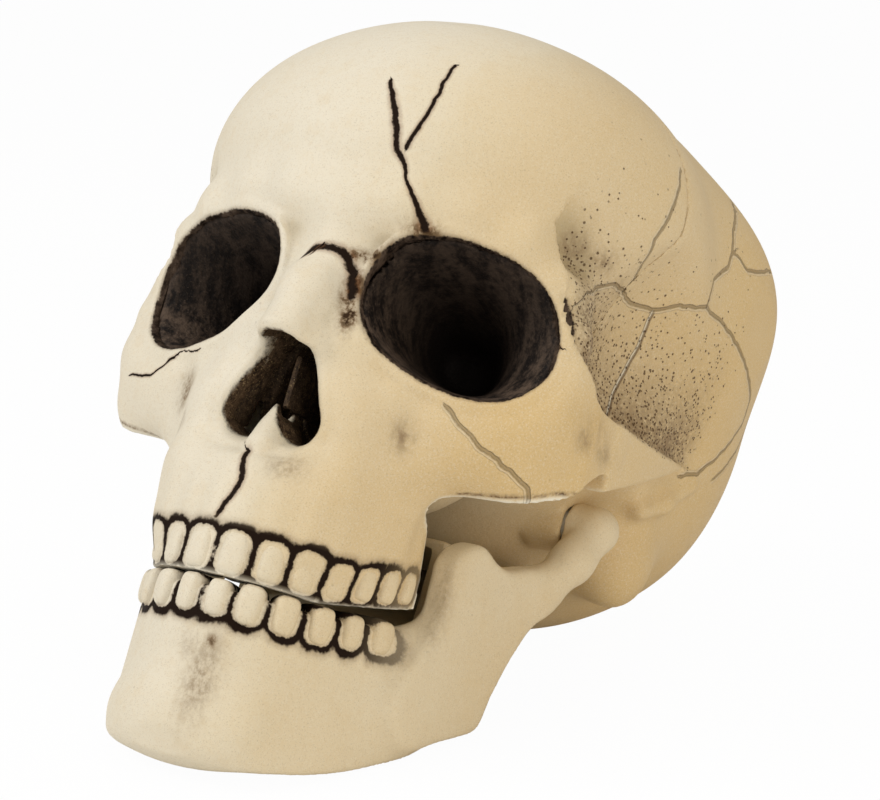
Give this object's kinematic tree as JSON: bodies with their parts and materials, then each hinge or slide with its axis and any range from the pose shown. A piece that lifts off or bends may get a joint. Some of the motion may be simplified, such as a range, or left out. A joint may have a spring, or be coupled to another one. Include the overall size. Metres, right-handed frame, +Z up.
{
  "type": "plastic skull model",
  "caption": "Hollow human skull model in painted bone-coloured plastic, with open eye and nose hollows and a jaw that swings on pins.",
  "frame": {"origin": "on the table, under the middle of the skull's box", "axes": "+Z up, -Y the way the face looks, +X the skull's own left"},
  "size_m": [0.1282, 0.2276, 0.1592],
  "materials": {
    "face_plastic": "bone-coloured moulding with brown stains and cracks painted on",
    "rear_plastic": "bone-coloured moulding, tanner and shaded olive in its hollows",
    "jaw_plastic": "bone-coloured moulding with brown stains between the teeth",
    "socket_plastic": "painted nearly black inside",
    "nose_plastic": "painted speckled brown inside",
    "bush_plastic": "plain white",
    "pin_steel": "plain"
  },
  "bodies": {
    "cranium": {"face_shell": "face_plastic", "rear_shell": "rear_plastic", "nose_insert": "nose_plastic", "orbit_cup_left": "socket_plastic", "orbit_cup_right": "socket_plastic", "hinge_bush_left": "bush_plastic", "hinge_bush_right": "bush_plastic", "hinge_washer_left": "bush_plastic", "hinge_washer_right": "bush_plastic"},
    "jaw": {"jaw_shell": "jaw_plastic", "jaw_lining": "jaw_plastic", "hinge_pin_left": "pin_steel", "hinge_pin_right": "pin_steel"}
  },
  "joints": [
    {"name": "jaw_swing", "type": "hinge", "parent": "cranium", "child": "jaw", "pos_m": [0, -0.00464, 0.04193], "axis": [1, 0, 0], "range_deg": [0, 28]}
  ]
}
